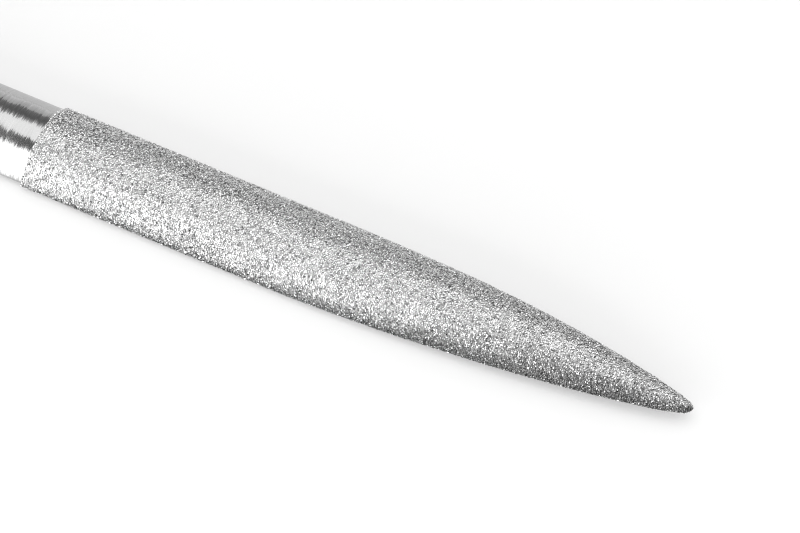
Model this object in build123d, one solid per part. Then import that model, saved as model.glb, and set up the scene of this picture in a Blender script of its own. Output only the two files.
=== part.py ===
from build123d import *
import os
from math import atan, cos, hypot, pi, sin, sqrt

# Half-round diamond file: a forged steel blank with a plated diamond layer on its working end.
# Sizes are in millimetres. The file lies along X with its butt at -X and its point at +X,
# flat side down, on the plane that the shank's lowest line and the plated flat side share.
# The origin is on that plane, under the middle of the file.

# Whole file
overall_length = 160.0

# Round shank that serves as the handle
shank_diameter = 4.0
butt_chamfer = 0.4

# Forged shoulder between the shank and the blade
shoulder_length = 10.0
shoulder_steps = 7

# Half-round blade of the blank
bare_heel_length = 6.0
blade_width = 7.0
blade_thickness = 2.5
blade_edge_radius = 0.15

# Diamond layer
coated_length = 50.0
coat_thickness = 0.2
coat_edge_chamfer = 0.06

# Run of the blade to the point. Each exponent pair shapes the curve (1 - t ** entry) ** exit.
width_taper_length = 30.0
width_entry = 1.75
width_exit = 0.74
thickness_taper_length = 20.0
thickness_entry = 2.1
thickness_exit = 1.1
flat_rise = 0.7
flat_rise_entry = 1.15
point_width = 0.24
point_thickness = 0.25
point_round = 0.2
point_facet_share = 0.97
taper_steps = 20
taper_crowding = 2.5

# Places that follow from the sizes above
butt_x = -overall_length / 2
coat_tip_x = overall_length / 2
steel_tip_x = coat_tip_x - coat_thickness
coat_start_x = coat_tip_x - coated_length
shoulder_end_x = coat_start_x - bare_heel_length
shoulder_start_x = shoulder_end_x - shoulder_length
width_taper_x = steel_tip_x - width_taper_length
thickness_taper_x = steel_tip_x - thickness_taper_length
loft_start_x = min(width_taper_x, thickness_taper_x)
shank_radius = shank_diameter / 2
flat_z = coat_thickness


def share_between(x, start, end):
    """Share of the way from start to end, held between 0 and 1."""
    return min(max((x - start) / (end - start), 0.0), 1.0)


def smooth_step(t):
    """Share that leaves 0 and reaches 1 with no slope."""
    return t * t * (3 - 2 * t)


def blade_half_width(x):
    """Half the steel's width: full along the heel, then an ogive to the point."""
    t = share_between(x, width_taper_x, steel_tip_x)
    fall = (1 - t**width_entry) ** width_exit
    return point_width / 2 + (blade_width - point_width) / 2 * fall


def blade_height(x):
    """The steel's thickness, which stays full for longer than the width."""
    t = share_between(x, thickness_taper_x, steel_tip_x)
    fall = (1 - t**thickness_entry) ** thickness_exit
    return point_thickness + (blade_thickness - point_thickness) * fall


def flat_height(x):
    """Height of the flat side, which rises to meet the point."""
    return flat_z + flat_rise * share_between(x, width_taper_x, steel_tip_x) ** flat_rise_entry


def rounding(x, tip_x, radius):
    """Share of the full section left by the rounded end: a quarter ellipse over the last stretch."""
    t = share_between(x, tip_x - radius, tip_x)
    return sqrt(1 - t * t)


def mirrored_section(x, low_right, right_mid, high_right, low_mid, high_mid):
    """Face across the file from four edges: flat side, right corner, round side, left corner.
    The points are (y, z) pairs on the right half and the middle, and the left half mirrors them.
    low_mid is None where the flat side is straight."""

    def right(point):
        return (x, point[0], point[1])

    def left(point):
        return (x, -point[0], point[1])

    if low_mid is None:
        flat_side = Line(left(low_right), right(low_right))
    else:
        flat_side = ThreePointArc(left(low_right), right(low_mid), right(low_right))
    right_corner = ThreePointArc(right(low_right), right(right_mid), right(high_right))
    round_side = ThreePointArc(right(high_right), right(high_mid), left(high_right))
    left_corner = ThreePointArc(left(high_right), left(right_mid), left(low_right))
    return Face(Wire([flat_side, right_corner, round_side, left_corner]))


def unit(y, z):
    """The direction (y, z) with length 1."""
    length = hypot(y, z)
    return (y / length, z / length)


def tangent_radius(corner_y, corner_radius, rise):
    """Radius of an arc that is level in the middle and runs smoothly into the corner's circle,
    whose centre is corner_y to the side and rise away from the arc's middle."""
    return (corner_y**2 + rise**2 - corner_radius**2) / (2 * (rise - corner_radius))


def bulged_section(x, half_width, low_z, high_z, corner_radius, low_share=0.0):
    """Section of three tangent radii: a round side above, two corners, and a flat side below.
    low_share is the share of the bulge that the flat side takes, 0 where it is straight."""
    corner_y = half_width - corner_radius
    bulge = high_z - low_z - 2 * corner_radius
    corner_z = low_z + corner_radius + bulge * low_share
    if low_share:
        low_radius = tangent_radius(corner_y, corner_radius, corner_z - low_z)
        low_way = unit(corner_y, corner_z - low_z - low_radius)
        low_mid = (0.0, low_z)
    else:
        low_way = (0.0, -1.0)
        low_mid = None
    high_radius = tangent_radius(corner_y, corner_radius, high_z - corner_z)
    high_way = unit(corner_y, corner_z - high_z + high_radius)
    mid_way = unit(low_way[0] + high_way[0], low_way[1] + high_way[1])

    def on_corner(way):
        return (corner_y + corner_radius * way[0], corner_z + corner_radius * way[1])

    corner = (on_corner(low_way), on_corner(mid_way), on_corner(high_way))
    return mirrored_section(x, *corner, low_mid, (0.0, high_z))


def shank_section(x):
    """The shank's circle, split in four arcs in line with those that the shoulder starts with."""
    bulge_slope = (blade_thickness - 2 * blade_edge_radius) / (blade_width / 2 - blade_edge_radius)
    split_angle = pi / 2 - 2 * atan(bulge_slope / 2)
    split_y = shank_radius * cos(split_angle)
    split_rise = shank_radius * sin(split_angle)
    low_right = (split_y, shank_radius - split_rise)
    high_right = (split_y, shank_radius + split_rise)
    right_mid = (shank_radius, shank_radius)
    return mirrored_section(x, low_right, right_mid, high_right, (0.0, 0.0), (0.0, shank_diameter))


def shoulder_section(x, share):
    """Section part of the way from the shank's circle to the half-round blade."""
    blend = smooth_step(share)

    def between(round_value, blade_value):
        return round_value + (blade_value - round_value) * blend

    return bulged_section(
        x,
        between(shank_radius, blade_width / 2),
        between(0.0, flat_z),
        between(shank_diameter, flat_z + blade_thickness),
        between(shank_radius, blade_edge_radius),
        between(0.5, 0.0),
    )


def blade_section(x, layer=0.0):
    """Half-round section of the steel, or of the diamond layer's outside where layer is its thickness."""
    if layer:
        left = rounding(x, coat_tip_x, point_round + layer)
    else:
        left = rounding(x, steel_tip_x, point_round)
    height = blade_height(x)
    middle = flat_height(x) + height / 2
    corner_radius = blade_edge_radius * height / blade_thickness
    half_height = (height / 2 + layer) * left
    return bulged_section(
        x,
        (blade_half_width(x) + layer) * left,
        middle - half_height,
        middle + half_height,
        (corner_radius + layer) * left,
    )


def tapering_blade(tip_x, round_length, layer=0.0):
    """The blade from the start of its taper to the blunt point, ruled from section to section.
    The sections crowd together towards the point, where the outline curves most."""
    end_x = tip_x - round_length * (1 - point_facet_share)
    shares = [(1 - i / taper_steps) ** taper_crowding for i in range(taper_steps + 1)]
    sections = [blade_section(end_x - (end_x - loft_start_x) * share, layer) for share in shares]
    return loft(sections, ruled=True)


def straight_blade(start_x, layer=0.0):
    """The part of the blade with an even section, up to the start of the taper."""
    return extrude(blade_section(start_x, layer), loft_start_x - start_x, dir=(1, 0, 0))


def make_shank():
    """Round bar with a chamfered butt."""
    length = shoulder_start_x - butt_x
    bar = Cylinder(shank_radius, length, align=(Align.CENTER, Align.CENTER, Align.MIN))
    bar = chamfer(bar.edges().sort_by(Axis.Z)[0], min(butt_chamfer, shank_radius / 2))
    return Location((butt_x, 0, shank_radius), (0, 90, 0)) * bar


def make_shoulder():
    """Forged change from the round shank to the half-round blade."""
    sections = [shank_section(shoulder_start_x)]
    for i in range(1, shoulder_steps):
        share = i / shoulder_steps
        sections.append(shoulder_section(shoulder_start_x + shoulder_length * share, share))
    sections.append(blade_section(shoulder_end_x))
    return loft(sections)


def make_steel_blank():
    """The whole steel body, from the butt to the point, as one piece."""
    blade = straight_blade(shoulder_end_x) + tapering_blade(steel_tip_x, point_round)
    return make_shank() + make_shoulder() + blade


def make_diamond_coating(blank):
    """The plated layer: its outside, less the steel that it lies on, with its edge on the heel broken."""
    outside = straight_blade(coat_start_x, coat_thickness)
    outside += tapering_blade(coat_tip_x, point_round + coat_thickness, coat_thickness)
    rim = outside.faces().sort_by(Axis.X)[0].edges()
    outside = chamfer(rim, min(coat_edge_chamfer, coat_thickness / 2))
    return outside - blank


os.makedirs("parts", exist_ok=True)
steel_blank = make_steel_blank()
diamond_coating = make_diamond_coating(steel_blank)
export_step(steel_blank, "parts/steel_blank.step")
export_step(diamond_coating, "parts/diamond_coating.step")
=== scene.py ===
import bpy
import numpy as np
from mathutils import Matrix, Vector


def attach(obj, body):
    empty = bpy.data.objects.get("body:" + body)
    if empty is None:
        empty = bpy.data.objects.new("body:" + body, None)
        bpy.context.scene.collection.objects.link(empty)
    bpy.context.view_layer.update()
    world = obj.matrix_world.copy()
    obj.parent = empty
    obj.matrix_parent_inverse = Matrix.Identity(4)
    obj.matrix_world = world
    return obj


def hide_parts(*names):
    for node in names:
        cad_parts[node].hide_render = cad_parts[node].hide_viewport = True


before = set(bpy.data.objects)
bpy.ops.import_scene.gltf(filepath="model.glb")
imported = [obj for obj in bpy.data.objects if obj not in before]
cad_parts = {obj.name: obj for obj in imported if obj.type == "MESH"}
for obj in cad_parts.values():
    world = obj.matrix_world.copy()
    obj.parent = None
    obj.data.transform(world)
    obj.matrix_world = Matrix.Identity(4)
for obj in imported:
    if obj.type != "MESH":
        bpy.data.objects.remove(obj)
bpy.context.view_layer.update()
mm = 0.001


def feed(tree, socket, value):
    # links another node's output to the socket, or sets the socket to a fixed value
    if isinstance(value, bpy.types.NodeSocket):
        tree.links.new(value, socket)
    else:
        socket.default_value = value


def addNode(tree, kind, **values):
    # each value goes to the node's setting of that name, or else to its socket
    node = tree.nodes.new(kind)
    for key, value in values.items():
        if hasattr(node, key):
            setattr(node, key, value)
        else:
            feed(tree, node.inputs[key], value)
    return node


def addMath(tree, operation, first, second):
    node = addNode(tree, "ShaderNodeMath", operation=operation)
    feed(tree, node.inputs[0], first)
    feed(tree, node.inputs[1], second)
    return node.outputs[0]


def addVector(tree, operation, first, second=None):
    # SCALE takes a number as its second value, and NORMALIZE takes none
    node = addNode(tree, "ShaderNodeVectorMath", operation=operation)
    feed(tree, node.inputs[0], first)
    if second is not None:
        feed(tree, node.inputs["Scale" if operation == "SCALE" else 1], second)
    return node.outputs["Value" if operation == "DOT_PRODUCT" else "Vector"]


def spreadTo(tree, value, start, end, atStart, atEnd):
    # runs from atStart to atEnd as the value goes from start to end, and is held there beyond them
    limits = {"From Min": start, "From Max": end, "To Min": atStart, "To Max": atEnd}
    return addNode(tree, "ShaderNodeMapRange", Value=value, **limits).outputs[0]


def between(tree, mask, low, high):
    # from low to high as the mask goes from 0 to 1
    return spreadTo(tree, mask, 0.0, 1.0, low, high)


def grey(shade):
    return (shade, shade, shade, 1.0)


def newMaterial(name):
    material = bpy.data.materials.new(name)
    material.use_nodes = True
    return material, material.node_tree, material.node_tree.nodes["Principled BSDF"]


def newGroup(name, inputs, outputs):
    group = bpy.data.node_groups.new(name, "ShaderNodeTree")
    for socketName, kind, value in inputs:
        socket = group.interface.new_socket(name=socketName, in_out="INPUT", socket_type=kind)
        if value is not None:
            socket.default_value = value
    for socketName, kind in outputs:
        group.interface.new_socket(name=socketName, in_out="OUTPUT", socket_type=kind)
    return group, group.nodes.new("NodeGroupInput"), group.nodes.new("NodeGroupOutput")


# lengths in this dictionary and in those below are in millimetres
studio = {
    "target": (56.9, 1.22, 1.67),            # where the camera's axis meets the file
    "toCamera": (0.2995, -0.561, 0.772),
    "cameraDistance": 908.0,
    "lens": 600.0,
    "clip": (50.0, 20000.0),
    "floorSize": 6000.0,
    "floorLevel": -0.08,                     # a little under the lowest grains
    "floorShade": 0.5,
    "fibreScale": 9.0,
    "fibreTint": 0.01,                       # how far the paper's fibres stray from its shade
    "paperRoughness": 0.9,
    # painted reflection: share of its shade with which the floor shows in the file's reflections, painted
    # shade below 1
    # and painted light above 1: on the far side, then on the near side before and after the stretch of the
    # file where the one turns into the other
    "floorPaintedReflectionFar": 0.8,
    "floorPaintedReflectionNear": (1.4, 0.12),
    "floorPaintedReflectionFade": (25.0, 35.0),
    "floorPaintedReflectionSideChange": 1.0,                  # half the width in which the near side turns into the far side
    "skyShades": ((0.0, 0.6), (0.3, 0.3), (0.65, 0.14), (1.0, 0.1)),    # height and shade there
    "darkSide": (0.5, -0.85, 0.0),           # the room is dark towards the near right
    "darkFrom": 0.1,
    "darkTo": 0.75,
    "darkShare": 0.15,
    # softboxes: lean towards the near side from and to, in degrees, then where they begin and end along the
    # file as a share of their distance, then radiance and distance; the first set lights the file, the second
    # lights the floor and the third lights the floor without a shadow of the file
    "fileBoxes": {
        "leftFarBox": (-65.0, -27.0, -1.6, -0.75, 2.6, 700.0),
        "leftTopBox": (-27.0, 30.0, -1.6, -0.75, 1.7, 700.0),
        "leftNearBox": (30.0, 90.0, -1.6, -0.7, 6.0, 220.0),
        "overheadStrip": (-31.0, 4.0, -0.75, -0.2, 1.0, 700.0),
        "stripEdgeBox": (-38.0, -31.0, -0.75, -0.2, 0.16, 700.0),
        "nearBox": (28.0, 66.0, -0.75, -0.2, 1.5, 700.0),
        "nearLowBox": (66.0, 90.0, -0.75, -0.2, 2.1, 700.0),
        "crownBox": (-50.0, 36.0, -0.21, 0.0, 2.8, 700.0),
        "crownSideBox": (-50.0, 20.0, 0.0, 0.14, 0.35, 700.0),
        "rightFarBox": (-62.0, -27.0, 0.12, 1.6, 0.7, 700.0),
        "farLowBox": (-88.0, -62.0, -1.6, 1.6, 0.28, 700.0),
    },
    "floorBoxes": {
        "floorNearBox": (60.0, 88.0, -1.5, 1.5, 3.6, 700.0),
    },
    "shadowlessBoxes": {
        "floorFillBox": (-80.0, 60.0, -1.5, 1.5, 1.63, 700.0),
    },
}

litFile = bpy.data.collections.new("litFile")
litFloor = bpy.data.collections.new("litFloor")


def placeCamera():
    camera = bpy.data.objects.new("camera", bpy.data.cameras.new("camera"))
    bpy.context.scene.collection.objects.link(camera)
    away = Vector(studio["toCamera"]).normalized()
    camera.location = (Vector(studio["target"]) + away * studio["cameraDistance"]) * mm
    camera.rotation_euler = away.to_track_quat("Z", "Y").to_euler()
    camera.data.lens = studio["lens"]
    camera.data.clip_start = studio["clip"][0] * mm
    camera.data.clip_end = studio["clip"][1] * mm
    bpy.context.scene.camera = camera


def placeBox(name, lit, blocking, leanFrom, leanTo, startShare, endShare, radiance, distance):
    # a softbox parallel to the file, facing the middle of its lean, as wide as its span of lean needs
    lean = np.radians((leanFrom + leanTo) / 2)
    way = Vector((0, -np.sin(lean), np.cos(lean)))
    light = bpy.data.lights.new(name, "AREA")
    light.shape = "RECTANGLE"
    light.size = (endShare - startShare) * distance * mm
    light.size_y = 2 * distance * np.tan(np.radians(leanTo - leanFrom) / 2) * mm
    light.energy = radiance * 4 * light.size * light.size_y    # an area light's radiance is energy / 4 / area
    box = bpy.data.objects.new(name, light)
    bpy.context.scene.collection.objects.link(box)
    along = Vector((1, 0, 0))
    middle = Vector((studio["target"][0] + (startShare + endShare) / 2 * distance, 0, 0)) + way * distance
    turn = Matrix((along, way.cross(along), way)).transposed().to_4x4()
    box.matrix_world = Matrix.Translation(middle * mm) @ turn
    box.visible_camera = False
    box.light_linking.receiver_collection = lit
    box.light_linking.blocker_collection = blocking


def makeSky():
    # the room's own light: bright at the horizon, darker with height and towards its dark side
    world = bpy.data.worlds.new("studioRoom")
    bpy.context.scene.world = world
    world.use_nodes = True
    tree = world.node_tree
    way = addNode(tree, "ShaderNodeTexCoord").outputs["Generated"]
    height = addNode(tree, "ShaderNodeSeparateXYZ", Vector=way).outputs["Z"]
    ramp = addNode(tree, "ShaderNodeValToRGB", Fac=height)
    while len(ramp.color_ramp.elements) < len(studio["skyShades"]):
        ramp.color_ramp.elements.new(0.5)
    for element, (place, shade) in zip(ramp.color_ramp.elements, studio["skyShades"]):
        element.position = place
        element.color = grey(shade)
    side = addVector(tree, "DOT_PRODUCT", way, studio["darkSide"])
    strength = spreadTo(tree, side, studio["darkFrom"], studio["darkTo"], 1.0, studio["darkShare"])
    background = tree.nodes["Background"]
    feed(tree, background.inputs["Color"], ramp.outputs[0])
    feed(tree, background.inputs["Strength"], strength)


def makeFloor():
    # a sheet of paper with one even shade to the camera; in the file's reflections it shows painted shade on
    # the far side and towards the point, and painted light at the heel
    half = studio["floorSize"] / 2 * mm
    level = studio["floorLevel"] * mm
    mesh = bpy.data.meshes.new("floor")
    corners = [(-half, -half, level), (half, -half, level), (half, half, level), (-half, half, level)]
    mesh.from_pydata(corners, [], [(0, 1, 2, 3)])
    floor = bpy.data.objects.new("floor", mesh)
    bpy.context.scene.collection.objects.link(floor)
    paper, tree, shader = newMaterial("paperWithPaintedReflection")
    shader.inputs["Roughness"].default_value = studio["paperRoughness"]
    shader.inputs["Specular IOR Level"].default_value = 0.0
    place = addNode(tree, "ShaderNodeTexCoord").outputs["Object"]
    fibre = addNode(tree, "ShaderNodeTexNoise", Vector=place, Scale=studio["fibreScale"])
    tint = addNode(tree, "ShaderNodeValToRGB", Fac=fibre.outputs[0])
    tint.color_ramp.elements[0].color = grey(studio["floorShade"] - studio["fibreTint"])
    tint.color_ramp.elements[1].color = grey(studio["floorShade"] + studio["fibreTint"])
    split = addNode(tree, "ShaderNodeSeparateXYZ", Vector=place)
    start, end = studio["floorPaintedReflectionFade"]
    near = spreadTo(tree, split.outputs["X"], start * mm, end * mm, *studio["floorPaintedReflectionNear"])
    change = studio["floorPaintedReflectionSideChange"] * mm
    paintedReflectionShare = spreadTo(tree, split.outputs["Y"], -change, change, near, studio["floorPaintedReflectionFar"])
    # painted reflection: camera rays see the paper's own shade, all other rays see it painted darker or
    # lighter by place
    toCamera = addNode(tree, "ShaderNodeLightPath").outputs["Is Camera Ray"]
    paintedReflectionColour = addVector(tree, "SCALE", tint.outputs[0], between(tree, toCamera, paintedReflectionShare, 1.0))
    feed(tree, shader.inputs["Base Color"], paintedReflectionColour)
    mesh.materials.append(paper)
    litFloor.objects.link(floor)


def makeGrindGroup():
    # grinding across the file: each narrow scratch turns the surface a little round the file's axis
    group, given, made = newGroup(
        "crosswiseGrind",
        [("Vector", "NodeSocketVector", None), ("Scratches", "NodeSocketFloat", None),
         ("Length", "NodeSocketFloat", None), ("Turn", "NodeSocketFloat", None)],
        [("Mask", "NodeSocketFloat"), ("Normal", "NodeSocketVector")],
    )
    length = given.outputs["Length"]
    stretch = addNode(group, "ShaderNodeCombineXYZ", X=given.outputs["Scratches"], Y=length, Z=length)
    scaled = addVector(group, "MULTIPLY", given.outputs["Vector"], stretch.outputs[0])
    streak = addNode(group, "ShaderNodeTexNoise", Vector=scaled, Scale=1.0, Detail=3.0, Roughness=0.6)
    mask = streak.outputs[0]
    turn = addMath(group, "MULTIPLY", addMath(group, "SUBTRACT", mask, 0.5), given.outputs["Turn"])
    normal = addNode(group, "ShaderNodeNewGeometry").outputs["Normal"]
    push = addVector(group, "SCALE", addVector(group, "CROSS_PRODUCT", normal, (1, 0, 0)), turn)
    leant = addVector(group, "ADD", normal, push)
    feed(group, made.inputs["Mask"], mask)
    feed(group, made.inputs["Normal"], addVector(group, "NORMALIZE", leant))
    return group


def makeCloudGroup():
    # soft uneven patches, from 0 to 1, that dull a finish here and there
    group, given, made = newGroup(
        "dullClouds",
        [("Vector", "NodeSocketVector", None), ("Scale", "NodeSocketFloat", None),
         ("Low", "NodeSocketFloat", 0.4), ("High", "NodeSocketFloat", 0.6)],
        [("Mask", "NodeSocketFloat")],
    )
    place, scale = given.outputs["Vector"], given.outputs["Scale"]
    noise = addNode(group, "ShaderNodeTexNoise", Vector=place, Scale=scale, Detail=4.0).outputs[0]
    patches = spreadTo(group, noise, given.outputs["Low"], given.outputs["High"], 0.0, 1.0)
    feed(group, made.inputs["Mask"], patches)
    return group


blank = {
    "buttX": -80.0,
    "tipX": 79.8,
    "shankRadius": 2.0,
    "buttChamfer": 0.4,
    "shoulderStart": 14.0,
    "shoulderEnd": 24.0,
    "width": 7.0,
    "thickness": 2.5,
    "edgeRadius": 0.15,
    "flatZ": 0.2,
    "widthTaper": (30.0, 1.75, 0.74),        # length of the taper, then how it enters and leaves
    "thicknessTaper": (20.0, 2.1, 1.1),
    "flatRise": (0.7, 1.15),                 # rise of the flat side at the point, and how it enters
    "pointWidth": 0.24,
    "pointThickness": 0.25,
    "pointRound": 0.2,
    "leastBlend": 0.0001,                    # keeps the section formula off the exact circle
    "leastBend": 0.000001,                   # a flatter arc than this is a straight line
    "around": 300,                           # points in a ring
    "shankRings": 12,
    "shoulderRings": 60,
    "bladeRings": 120,
    "ringGaps": (1.0, 0.2),                  # at both ends of the shank's rings, and before the blade's
    "pointAngles": (0.15, 1.5, 8),           # rings round the end's quarter ellipse: from, to and how many
    "chamferHold": 0.02,                     # keeps the shading flat up to the chamfer's edges
    "faceHold": 0.02,                        # the same on the butt's face, as a share of the shank's radius
    "darkShade": 0.5,
    "paleShade": 0.6,
    "smoothest": 0.13,
    "roughest": 0.22,
    "shankShade": 0.62,                      # the shank is duller than the ground blade: share of its shade
    "shankRougher": 0.22,                    # and what is added to its roughness
    "cloudScale": 220.0,
    "scratches": 7000.0,
    "scratchLength": 450.0,
    "scratchTurn": 0.3,
}


def shareBetween(x, start, end):
    return np.clip((x - start) / (end - start), 0.0, 1.0)


def smoothStep(t):
    return t * t * (3 - 2 * t)


def sectionSizes(x, layer=0.0):
    # half width, low and high point, corner radius and the flat side's share of the bulge at x.
    # The shank's circle blends into the half-round blade with a smooth step, the width and the
    # thickness fall as (1 - t^entry)^exit, and the end closes as a quarter ellipse.
    b = blank
    blend = np.maximum(smoothStep(shareBetween(x, b["shoulderStart"], b["shoulderEnd"])), b["leastBlend"])
    length, entry, leave = b["widthTaper"]
    t = shareBetween(x, b["tipX"] - length, b["tipX"])
    halfWidth = b["pointWidth"] / 2 + (b["width"] - b["pointWidth"]) / 2 * (1 - t ** entry) ** leave
    flat = b["flatZ"] + b["flatRise"][0] * t ** b["flatRise"][1]
    length, entry, leave = b["thicknessTaper"]
    t = shareBetween(x, b["tipX"] - length, b["tipX"])
    height = b["pointThickness"] + (b["thickness"] - b["pointThickness"]) * (1 - t ** entry) ** leave
    corner = b["edgeRadius"] * height / b["thickness"]
    radius = b["shankRadius"]
    halfWidth = radius + (halfWidth - radius) * blend
    low = flat * blend
    high = 2 * radius + (flat + height - 2 * radius) * blend
    corner = radius + (corner - radius) * blend
    tip = b["tipX"] + layer
    t = shareBetween(x, tip - b["pointRound"] - layer, tip)
    left = np.sqrt(1 - t * t)
    middle = (low + high) / 2
    halfHeight = ((high - low) / 2 + layer) * left
    return ((halfWidth + layer) * left, middle - halfHeight, middle + halfHeight,
            (corner + layer) * left, (1 - blend) / 2)


def sectionLengths(x, layer=0.0):
    # low and high point, corner radius and centre, and then the curvatures, half angles and lengths of the
    # arcs on one side, which meet without a kink: flat side, corner, round side
    halfWidth, low, high, corner, lowShare = sectionSizes(x, layer)
    cornerY = halfWidth - corner
    cornerZ = low + corner + (high - low - 2 * corner) * lowShare
    drop = cornerZ - low
    rise = high - cornerZ
    lowBend = 2 * (drop - corner) / (cornerY ** 2 + drop ** 2 - corner ** 2)
    highBend = 2 * (rise - corner) / (cornerY ** 2 + rise ** 2 - corner ** 2)
    lowBend = np.where(lowBend < blank["leastBend"], 0.0, lowBend)
    lowTurn = np.arctan2(cornerY * lowBend, 1 - drop * lowBend)
    highTurn = np.arctan2(cornerY * highBend, 1 - rise * highBend)
    lowRun = np.where(lowBend > 0, lowTurn / np.maximum(lowBend, blank["leastBend"]), cornerY)
    cornerRun = corner * (np.pi - lowTurn - highTurn)
    highRun = highTurn / highBend
    return low, high, corner, cornerY, cornerZ, lowBend, highBend, lowTurn, lowRun, cornerRun, highRun


def surfacePoint(x, travel, layer=0.0):
    # the point at x along the file and the share travel of the way round the section, which starts
    # under the middle and goes up the +Y side: along a flat arc, a corner arc and the round arc
    (low, high, corner, cornerY, cornerZ, lowBend, highBend,
     lowTurn, lowRun, cornerRun, highRun) = sectionLengths(x, layer)
    side = np.where(travel % 1 < 0.5, 1.0, -1.0)
    run = (1 - np.abs(1 - 2 * (travel % 1))) * (lowRun + cornerRun + highRun)
    onLow = np.minimum(run, lowRun)
    angle = onLow * lowBend
    lowY = np.where(lowBend > 0, np.sin(angle) / np.maximum(lowBend, blank["leastBend"]), onLow)
    lowZ = low + lowY * np.tan(angle / 2)
    turn = lowTurn - np.pi / 2 + np.clip(run - lowRun, 0, cornerRun) / corner
    cornerPointY = cornerY + corner * np.cos(turn)
    cornerPointZ = cornerZ + corner * np.sin(turn)
    angle = np.maximum(lowRun + cornerRun + highRun - run, 0) * highBend
    highY = np.sin(angle) / highBend
    highZ = high - highY * np.tan(angle / 2)
    onCorner = run > lowRun
    onRound = run > lowRun + cornerRun
    y = np.where(onRound, highY, np.where(onCorner, cornerPointY, lowY)) * side
    z = np.where(onRound, highZ, np.where(onCorner, cornerPointZ, lowZ))
    return np.stack(np.broadcast_arrays(x, y, z), axis=-1)


def surfaceNormal(x, travel, layer=0.0):
    # outward direction: the cross product of a small step round the section and one along the file
    step = 0.002
    turn = 0.0002
    around = surfacePoint(x, travel + turn, layer) - surfacePoint(x, travel - turn, layer)
    along = surfacePoint(x + step, travel, layer) - surfacePoint(x - step, travel, layer)
    normal = np.cross(around, along)
    return normal / np.linalg.norm(normal, axis=-1, keepdims=True)


def pointRings(tipX, roundLength, angles):
    # where rings lie along the file when they stand at these angles round the end's quarter ellipse
    return tipX - roundLength * (1 - np.sin(angles))


def tubeFaces(rings, around):
    # quads between neighbouring rings, and a fan of triangles to a pole at each end
    j = np.arange(around)
    after = (j + 1) % around
    ring = np.arange(rings - 1)[:, None] * around
    nextRing = ring + around
    quads = np.stack([ring + j, ring + after, nextRing + after, nextRing + j], -1)
    last = (rings - 1) * around
    start = np.stack([np.full(around, rings * around), after, j], -1)
    end = np.stack([np.full(around, rings * around + 1), last + j, last + after], -1)
    return [quads.reshape(-1, 4), start, end]


def meshObject(name, points, faceSets, smooth):
    # puts whole arrays of points and of faces with equal corner counts into one mesh
    mesh = bpy.data.meshes.new(name)
    corners = np.concatenate([faces.ravel() for faces in faceSets])
    sizes = np.concatenate([np.full(len(faces), faces.shape[1]) for faces in faceSets])
    starts = np.concatenate([[0], np.cumsum(sizes)[:-1]])
    mesh.vertices.add(len(points))
    mesh.vertices.foreach_set("co", (points * mm).astype(np.float32).ravel())
    mesh.loops.add(len(corners))
    mesh.loops.foreach_set("vertex_index", corners.astype(np.int32))
    mesh.polygons.add(len(sizes))
    mesh.polygons.foreach_set("loop_start", starts.astype(np.int32))
    mesh.polygons.foreach_set("use_smooth", np.full(len(sizes), smooth))
    mesh.update(calc_edges=True)
    mesh.validate()
    piece = bpy.data.objects.new(name, mesh)
    bpy.context.scene.collection.objects.link(piece)
    litFile.objects.link(piece)
    return piece


def makeSteelMaterial(grind, clouds):
    # bright ground steel with crosswise scratches, which turns into a duller shank over the shoulder
    b = blank
    material, tree, shader = newMaterial("groundSteel")
    place = addNode(tree, "ShaderNodeTexCoord").outputs["Object"]
    scratch = addNode(tree, "ShaderNodeGroup", node_tree=grind, Vector=place, Scratches=b["scratches"],
                      Length=b["scratchLength"], Turn=b["scratchTurn"])
    dull = addNode(tree, "ShaderNodeGroup", node_tree=clouds, Vector=place, Scale=b["cloudScale"])
    along = addNode(tree, "ShaderNodeSeparateXYZ", Vector=place).outputs["X"]
    start, end = b["shoulderStart"] * mm, b["shoulderEnd"] * mm
    satinShade = spreadTo(tree, along, start, end, b["shankShade"], 1.0)
    satinRough = spreadTo(tree, along, start, end, b["shankRougher"], 0.0)
    shade = between(tree, scratch.outputs["Mask"], b["darkShade"], b["paleShade"])
    rough = between(tree, dull.outputs["Mask"], b["smoothest"], b["roughest"])
    shader.inputs["Metallic"].default_value = 1.0
    feed(tree, shader.inputs["Base Color"], addMath(tree, "MULTIPLY", shade, satinShade))
    feed(tree, shader.inputs["Roughness"], addMath(tree, "ADD", rough, satinRough))
    feed(tree, shader.inputs["Normal"], scratch.outputs["Normal"])
    return material


def makeSteelBlank(material):
    # rings of the section's outline, close together where the outline changes, and drawn in towards the
    # middle over the butt's chamfer
    b = blank
    chamfer, hold = b["buttChamfer"], b["chamferHold"]
    shankGap, bladeGap = b["ringGaps"]
    stations = np.concatenate([
        b["buttX"] + np.array([0, 0, hold, chamfer / 2, chamfer - hold, chamfer, chamfer + hold]),
        np.linspace(b["buttX"] + shankGap, b["shoulderStart"] - shankGap, b["shankRings"]),
        np.linspace(b["shoulderStart"], b["shoulderEnd"], b["shoulderRings"]),
        np.linspace(b["shoulderEnd"] + bladeGap, b["tipX"] - b["pointRound"], b["bladeRings"]),
        pointRings(b["tipX"], b["pointRound"], np.linspace(*b["pointAngles"])),
    ])
    travel = np.arange(b["around"]) / b["around"]
    points = surfacePoint(stations[:, None], travel[None, :])
    shrink = 1 - np.clip(1 - (stations - b["buttX"]) / chamfer, 0, 1) * chamfer / b["shankRadius"]
    shrink[0] -= b["faceHold"]
    points[..., 1] *= shrink[:, None]
    points[..., 2] = b["shankRadius"] + (points[..., 2] - b["shankRadius"]) * shrink[:, None]
    low, high = sectionSizes(np.array([b["tipX"]]))[1:3]
    poles = [(b["buttX"], 0, b["shankRadius"]), (b["tipX"], 0, (low[0] + high[0]) / 2)]
    points = np.concatenate([points.reshape(-1, 3), poles])
    piece = meshObject("steelBlankSurface", points, tubeFaces(len(stations), b["around"]), True)
    piece.data.materials.append(material)
    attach(piece, "root")
    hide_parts("steel_blank")
    print("steel blank:", len(piece.data.polygons), "faces")


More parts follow.
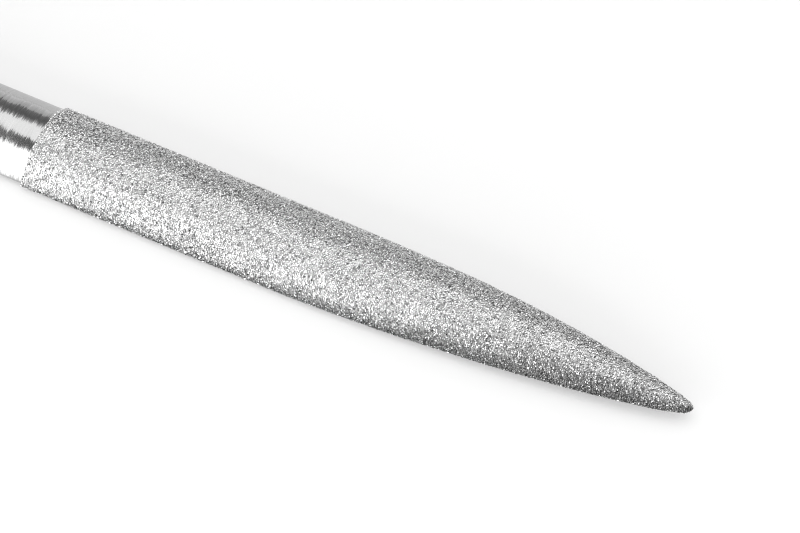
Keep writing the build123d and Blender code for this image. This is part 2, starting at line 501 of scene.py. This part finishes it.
coat = {
    "startX": 30.0,
    "tipX": 80.0,
    "layer": 0.2,
    "bedDepth": 0.055,                       # how far the nickel lies under the grains' tops
    "tipDepth": 0.09,                        # the same at the tip
    "along": 440,
    "around": 160,
    "innerRings": 40,
    "innerGaps": (0.3, 1.0),                 # of the inner skin from the coat's start and the steel's tip
    # noises: cell, seed and height
    "fineBumps": (0.14, 3, 0.018),
    "broadBumps": (0.9, 5, 0.01),
    "raggedEdge": (0.16, 8, 0.03),
    "raggedReach": 0.5,                      # how far from the edge the outside follows it
    "rimSink": 0.01,                         # the edge starts this far inside the steel
    "rimLead": 0.02,                         # and this far towards the heel
    "rimBulge": 0.03,                        # and stands out towards the heel by this much half way up
    "poleLead": 0.01,                        # how far the tip's pole stands beyond its last ring
    "darkShade": 0.3,
    "paleShade": 0.5,
    "smoothest": 0.25,
    "roughest": 0.45,
    "cloudScale": 3000.0,
    "pitScale": 16000.0,
    "pitStrength": 0.5,
    "pitDepth": 0.03,
}


def latticeNoise(points, cell, seed, height):
    # smooth noise from -height to height: random values on a cubic lattice, blended across each cube.
    # A lattice point's value comes from its whole-number place and the seed, stirred with large numbers.
    placeStir = np.array([73856093, 19349663, 83492791])
    seedStir = 7919
    stirs = ((13, 1274126177), (16, 668265263))
    largest = 0x7FFFFFFF
    grid = points / cell
    base = np.floor(grid).astype(np.int64)
    part = smoothStep(grid - base)
    total = np.zeros(points.shape[:-1])
    for corner in np.ndindex(2, 2, 2):
        key = (base + np.array(corner)) @ placeStir + seed * seedStir
        for bits, stir in stirs:
            key = (key ^ (key >> bits)) * stir & largest
        weight = np.prod(np.where(np.array(corner) == 1, part, 1 - part), axis=-1)
        total += weight * (key / largest * 2 - 1)
    return total * height


def makeBedMaterial(clouds):
    # satin nickel with dull clouds and fine pits
    c = coat
    material, tree, shader = newMaterial("nickelBed")
    place = addNode(tree, "ShaderNodeTexCoord").outputs["Object"]
    dull = addNode(tree, "ShaderNodeGroup", node_tree=clouds, Vector=place, Scale=c["cloudScale"])
    mask = dull.outputs["Mask"]
    pits = addNode(tree, "ShaderNodeTexNoise", Vector=place, Scale=c["pitScale"], Detail=2.0)
    bump = addNode(tree, "ShaderNodeBump", Height=pits.outputs[0], Strength=c["pitStrength"],
                   Distance=c["pitDepth"] * mm)
    shader.inputs["Metallic"].default_value = 1.0
    feed(tree, shader.inputs["Base Color"], between(tree, mask, c["darkShade"], c["paleShade"]))
    feed(tree, shader.inputs["Roughness"], between(tree, mask, c["roughest"], c["smoothest"]))
    feed(tree, shader.inputs["Normal"], bump.outputs[0])
    return material


def makeNickelBed(material):
    # a closed skin: from a pole in the steel's point back to the heel, over the edge, and along the outside
    # to the tip; the outside lies under the grains and is lifted by two noises
    c = coat
    travel = np.arange(c["around"]) / c["around"]
    bed = c["layer"] - c["bedDepth"]
    heelGap, pointGap = c["innerGaps"]
    inner = np.linspace(blank["tipX"] - pointGap, c["startX"] + heelGap, c["innerRings"])
    innerPoints = surfacePoint(inner[:, None], travel[None, :])
    endX = c["tipX"] - c["tipDepth"]
    roundPart = blank["pointRound"] + bed
    outer = np.concatenate([
        np.linspace(c["startX"], endX - roundPart, c["along"]),
        pointRings(endX, roundPart, np.linspace(*blank["pointAngles"])),
    ])
    outerPoints = surfacePoint(outer[:, None], travel[None, :], bed)
    # the last two rings borrow the outward direction of the one before them
    normals = surfaceNormal(np.minimum(outer, outer[-3])[:, None], travel[None, :], bed)
    lift = latticeNoise(outerPoints, *c["fineBumps"]) + latticeNoise(outerPoints, *c["broadBumps"])
    outerPoints = outerPoints + normals * lift[..., None]
    ragged = latticeNoise(outerPoints[0], *c["raggedEdge"])
    nearEdge = np.clip(1 - (outer - c["startX"]) / c["raggedReach"], 0, 1)
    outerPoints[..., 0] += nearEdge[:, None] * ragged[None, :]
    rim = surfacePoint(np.full((1, 1), c["startX"]), travel[None, :], -c["rimSink"])
    rim[..., 0] += ragged[None, :] - c["rimLead"]
    shoulder = (rim + outerPoints[:1]) / 2
    shoulder[..., 0] -= c["rimBulge"]
    poles = [innerPoints[0].mean(axis=0), outerPoints[-1].mean(axis=0) + (c["poleLead"], 0, 0)]
    rings = np.concatenate([innerPoints, rim, shoulder, outerPoints])
    points = np.concatenate([rings.reshape(-1, 3), poles])
    piece = meshObject("nickelBed", points, tubeFaces(len(rings), c["around"]), True)
    piece.data.materials.append(material)
    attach(piece, "root")
    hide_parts("diamond_coating")
    print("nickel bed:", len(piece.data.polygons), "faces")


grit = {
    "seed": 41,
    "pitch": 0.135,
    "jitter": 0.36,
    "edgeGap": 0.06,                         # between the coat's edge and the first ring of grains
    "leastGap": 0.04,                        # and the least that jitter leaves of it
    "radius": (0.055, 0.09),
    "sink": 0.036,
    "sinkSpread": 0.015,
    "tilt": 0.12,
    "sides": 4,
    "sideSpread": 0.28,                      # how unevenly a grain's sides are shared out
    # the waist, the flat top and the point below, as shares of a grain's radius
    "waist": (0.8, 1.15),
    "waistHeight": (-0.15, 0.25),
    "crown": (0.66, 0.96),
    "crownHeight": (0.35, 0.55),
    "crownUneven": 0.06,
    "root": 0.8,
    "crownTwist": 0.2,                       # in radians
    "tipAngles": (12, 36, 58, 80),           # degrees round the tip's quarter ellipse of the last rings
    "tipShake": 0.02,                        # takes the place of their pitch when they are shaken
    "tipFiner": 0.35,                        # how much smaller the grains are at the tip
    "tipFinerOver": 2.0,                     # and over what length
    "tipPitch": 0.095,                       # the grains' pitch over the last stretch
    "tipStretch": 1.6,
    "tipNormal": 0.005,                      # how near the tip a grain still finds its outward direction
    "flatShare": 0.2,                        # share of the way round, from under the middle, that is flat
    "splitX": 52.0,                          # where the pieces at the heel end and those at the point begin
    "metallic": 0.75,                        # between the nickel that wets the grains and bare diamond
    "toneSkew": 4.0,                         # above 1, most grains are pale and a few are dark
    "glossSkew": 1.0,
    "darkShade": 0.12,
    "paleShade": 0.9,
    "smoothest": 0.27,
    "roughest": 0.42,
    "cloudScale": 9000.0,
    "cloudDepth": 0.3,                       # how much a cloud takes from a grain's tone
}

dice = np.random.default_rng(grit["seed"])


def shake(spread, size):
    return dice.uniform(-spread, spread, size)


def makeGritMaterial(clouds):
    # each grain has a tone and a gloss of its own, and clouds dull the tone within it
    g = grit
    material, tree, shader = newMaterial("diamondGrit")
    place = addNode(tree, "ShaderNodeTexCoord").outputs["Object"]
    tone = addNode(tree, "ShaderNodeAttribute", attribute_name="grainTone").outputs["Fac"]
    gloss = addNode(tree, "ShaderNodeAttribute", attribute_name="grainGloss").outputs["Fac"]
    dull = addNode(tree, "ShaderNodeGroup", node_tree=clouds, Vector=place, Scale=g["cloudScale"])
    left = between(tree, dull.outputs["Mask"], 1 - g["cloudDepth"], 1.0)
    patchy = addMath(tree, "MULTIPLY", tone, left)
    shader.inputs["Metallic"].default_value = g["metallic"]
    feed(tree, shader.inputs["Base Color"], between(tree, patchy, g["darkShade"], g["paleShade"]))
    feed(tree, shader.inputs["Roughness"], between(tree, gloss, g["roughest"], g["smoothest"]))
    return material


def gritPlaces():
    # rings of places one pitch apart along the file, each ring with as many as its outline holds, then
    # shaken; the pitch is finer near the tip
    c, g = coat, grit
    tipRound = blank["pointRound"] + c["layer"]
    finerX = c["tipX"] - g["tipStretch"]
    rings = np.concatenate([
        np.arange(c["startX"] + g["edgeGap"], finerX, g["pitch"]),
        np.arange(finerX, c["tipX"] - tipRound, g["tipPitch"]),
        pointRings(c["tipX"], tipRound, np.radians(g["tipAngles"])),
    ])
    pitch = np.where(rings < finerX, g["pitch"], g["tipPitch"])
    lowRun, cornerRun, highRun = sectionLengths(rings, c["layer"])[-3:]
    outline = 2 * (lowRun + cornerRun + highRun)
    counts = np.maximum(np.round(outline / pitch).astype(int), 1)
    ring = np.repeat(np.arange(len(rings)), counts)
    within = np.arange(counts.sum()) - np.repeat(np.cumsum(counts) - counts, counts)
    shift = dice.random(len(rings))[ring]
    travel = (within + shift + shake(g["jitter"], len(ring))) / counts[ring]
    spread = np.where(rings < c["tipX"] - tipRound, pitch, g["tipShake"])
    x = rings[ring] + shake(g["jitter"], len(ring)) * spread[ring]
    return np.maximum(x, c["startX"] + g["leastGap"]), travel % 1


def makeGrit(name, x, travel, material):
    # closed faceted grains: an uneven ring round the waist, a smaller one on top and a point below,
    # turned at random about the surface's outward direction and leant away from it
    c, g = coat, grit
    count, sides = len(x), g["sides"]
    normal = surfaceNormal(np.minimum(x, c["tipX"] - g["tipNormal"]), travel, c["layer"])
    centre = surfacePoint(x, travel, c["layer"])
    finer = g["tipFiner"] * shareBetween(x, c["tipX"] - g["tipFinerOver"], c["tipX"])
    radius = dice.uniform(*g["radius"], count) * (1 - finer)
    sink = g["sink"] + shake(g["sinkSpread"], count)
    up = normal + dice.normal(0, g["tilt"], (count, 3))
    up /= np.linalg.norm(up, axis=-1, keepdims=True)
    first = np.cross(up, dice.normal(0, 1, (count, 3)))
    first /= np.linalg.norm(first, axis=-1, keepdims=True)
    second = np.cross(up, first)
    angle = (np.arange(sides)[None, :] + shake(g["sideSpread"], (count, sides))) * 2 * np.pi / sides
    waist = dice.uniform(*g["waist"], (count, sides))
    crown = dice.uniform(*g["crown"], (count, sides))
    crownAngle = angle + shake(g["crownTwist"], (count, sides))
    waistHeight = dice.uniform(*g["waistHeight"], (count, sides))
    crownHeight = dice.uniform(*g["crownHeight"], (count, 1)) + shake(g["crownUneven"], (count, sides))
    local = np.concatenate([
        np.stack([waist * np.cos(angle), waist * np.sin(angle), waistHeight], -1),
        np.stack([crown * np.cos(crownAngle), crown * np.sin(crownAngle), crownHeight], -1),
        np.broadcast_to([[[0.0, 0.0, -g["root"]]]], (count, 1, 3)),
    ], axis=1) * radius[:, None, None]
    points = (centre - normal * sink[:, None])[:, None, :]
    points = points + local[..., 0:1] * first[:, None, :] + local[..., 1:2] * second[:, None, :]
    points = points + local[..., 2:3] * up[:, None, :]
    ring = np.arange(sides)
    after = (ring + 1) % sides
    faces = np.concatenate([
        np.stack([ring, after, sides + after], -1),
        np.stack([ring, sides + after, sides + ring], -1),
        np.stack([after, ring, np.full(sides, 2 * sides)], -1),
        np.stack([np.full(sides - 2, sides), sides + ring[1:-1], sides + ring[2:]], -1),
    ])
    each = 2 * sides + 1
    faces = (faces[None, :, :] + (np.arange(count) * each)[:, None, None]).reshape(-1, 3)
    piece = meshObject(name, points.reshape(-1, 3), [faces], False)
    for attributeName, skew in (("grainTone", g["toneSkew"]), ("grainGloss", g["glossSkew"])):
        attribute = piece.data.attributes.new(attributeName, "FLOAT", "POINT")
        values = np.repeat(1 - dice.random(count) ** skew, each)
        attribute.data.foreach_set("value", values.astype(np.float32))
    piece.data.materials.append(material)
    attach(piece, "root")
    print(name + ":", count, "grains,", len(faces), "triangles")


bpy.context.scene.view_settings.view_transform = "Standard"
cycles = bpy.context.scene.cycles
cycles.use_denoising = True
cycles.denoising_input_passes = "RGB_ALBEDO_NORMAL"
cycles.denoising_prefilter = "NONE"
cycles.filter_width = 1.1

placeCamera()
for boxSet, lit, blocking in (("fileBoxes", litFile, None), ("floorBoxes", litFloor, None),
                              ("shadowlessBoxes", litFloor, litFloor)):
    for boxName, boxValues in studio[boxSet].items():
        placeBox(boxName, lit, blocking, *boxValues)
makeSky()
makeFloor()
print("studio ready")

cloudGroup = makeCloudGroup()
makeSteelBlank(makeSteelMaterial(makeGrindGroup(), cloudGroup))
makeNickelBed(makeBedMaterial(cloudGroup))

gritMaterial = makeGritMaterial(cloudGroup)
gritX, gritTravel = gritPlaces()
onFlat = (gritTravel < grit["flatShare"]) | (gritTravel > 1 - grit["flatShare"])
heelward = gritX < grit["splitX"]
for gritName, chosen in (("gritRoundHeel", ~onFlat & heelward), ("gritRoundPoint", ~onFlat & ~heelward),
                         ("gritFlatHeel", onFlat & heelward), ("gritFlatPoint", onFlat & ~heelward)):
    makeGrit(gritName, gritX[chosen], gritTravel[chosen], gritMaterial)
